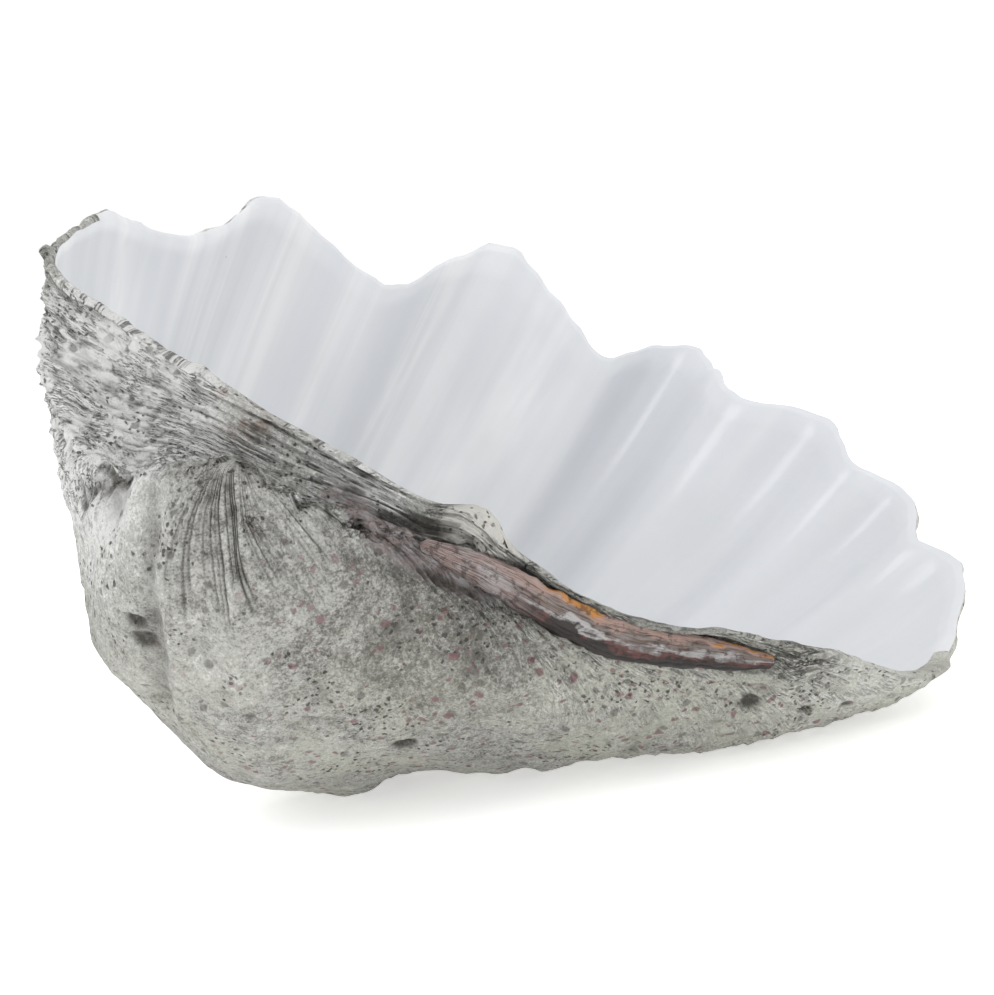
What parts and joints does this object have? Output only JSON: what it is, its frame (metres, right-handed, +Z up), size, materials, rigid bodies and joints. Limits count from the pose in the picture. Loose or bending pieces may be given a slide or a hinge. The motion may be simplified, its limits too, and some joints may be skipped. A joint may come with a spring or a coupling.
{
  "type": "giant clam shell valve",
  "caption": "Single giant clam shell half: a deep ribbed bowl with a wavy scalloped rim and a dry ligament at the hinge.",
  "frame": {"origin": "centre of the bounding box, on the surface that the shell lies on", "axes": "+X along the hinge towards the low back end, the longest extent; +Y away from the hinge towards the far margin; +Z up"},
  "size_m": [0.6462, 0.601, 0.4522],
  "materials": {
    "shell": "rough",
    "ligament": "satin"
  },
  "bodies": {
    "root": {"valve": "shell", "ligament": "ligament"}
  },
  "joints": []
}
